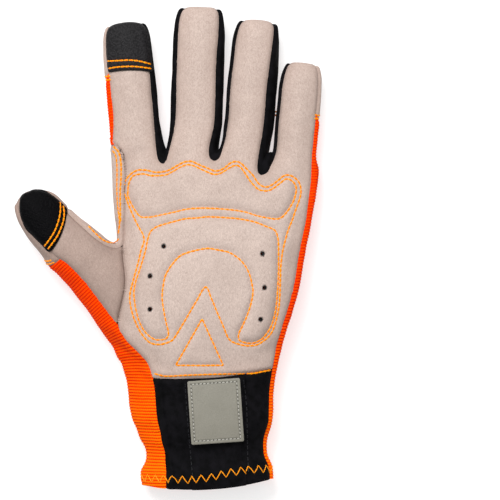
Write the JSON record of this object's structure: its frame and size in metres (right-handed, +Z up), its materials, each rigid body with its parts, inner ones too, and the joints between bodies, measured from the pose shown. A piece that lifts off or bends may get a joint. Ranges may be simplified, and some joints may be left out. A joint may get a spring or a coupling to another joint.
{
  "type": "rose pruning glove",
  "caption": "Left-hand pruning glove: suede palm and fingertips, ribbed knit back, stretch gussets between the fingers and a short knit cuff open at the wrist.",
  "frame": {"origin": "on the flat that the glove rests on, at the middle of the back of the hand", "axes": "+Y along the fingers, +Z up out of the palm, +X to the little finger's side"},
  "size_m": [0.1607, 0.2534, 0.0313],
  "materials": {
    "palm_suede": "matt suede",
    "thumb_suede": "matt suede",
    "crotch_suede": "matt suede",
    "cap_suede": "matt suede",
    "back_knit": "ribbed knit",
    "gusset_stretch": "smooth stretch cloth",
    "cuff_stretch": "smooth stretch cloth",
    "strip_stretch": "smooth stretch cloth",
    "grip_patch": "fine grain, low sheen",
    "label_rubber": "satin"
  },
  "bodies": {
    "root": {"palm_panel": "palm_suede", "thumb_panel": "thumb_suede", "crotch_patch": "crotch_suede", "index_cap": "cap_suede", "middle_cap": "cap_suede", "ring_cap": "cap_suede", "little_cap": "cap_suede", "thumb_cap": "cap_suede", "back_panel": "back_knit", "gusset_index_middle": "gusset_stretch", "gusset_middle_ring": "gusset_stretch", "gusset_ring_little": "gusset_stretch", "cuff_panel": "cuff_stretch", "wrist_strip": "strip_stretch", "index_tip_patch": "grip_patch", "thumb_tip_patch": "grip_patch", "label": "label_rubber"}
  },
  "joints": []
}
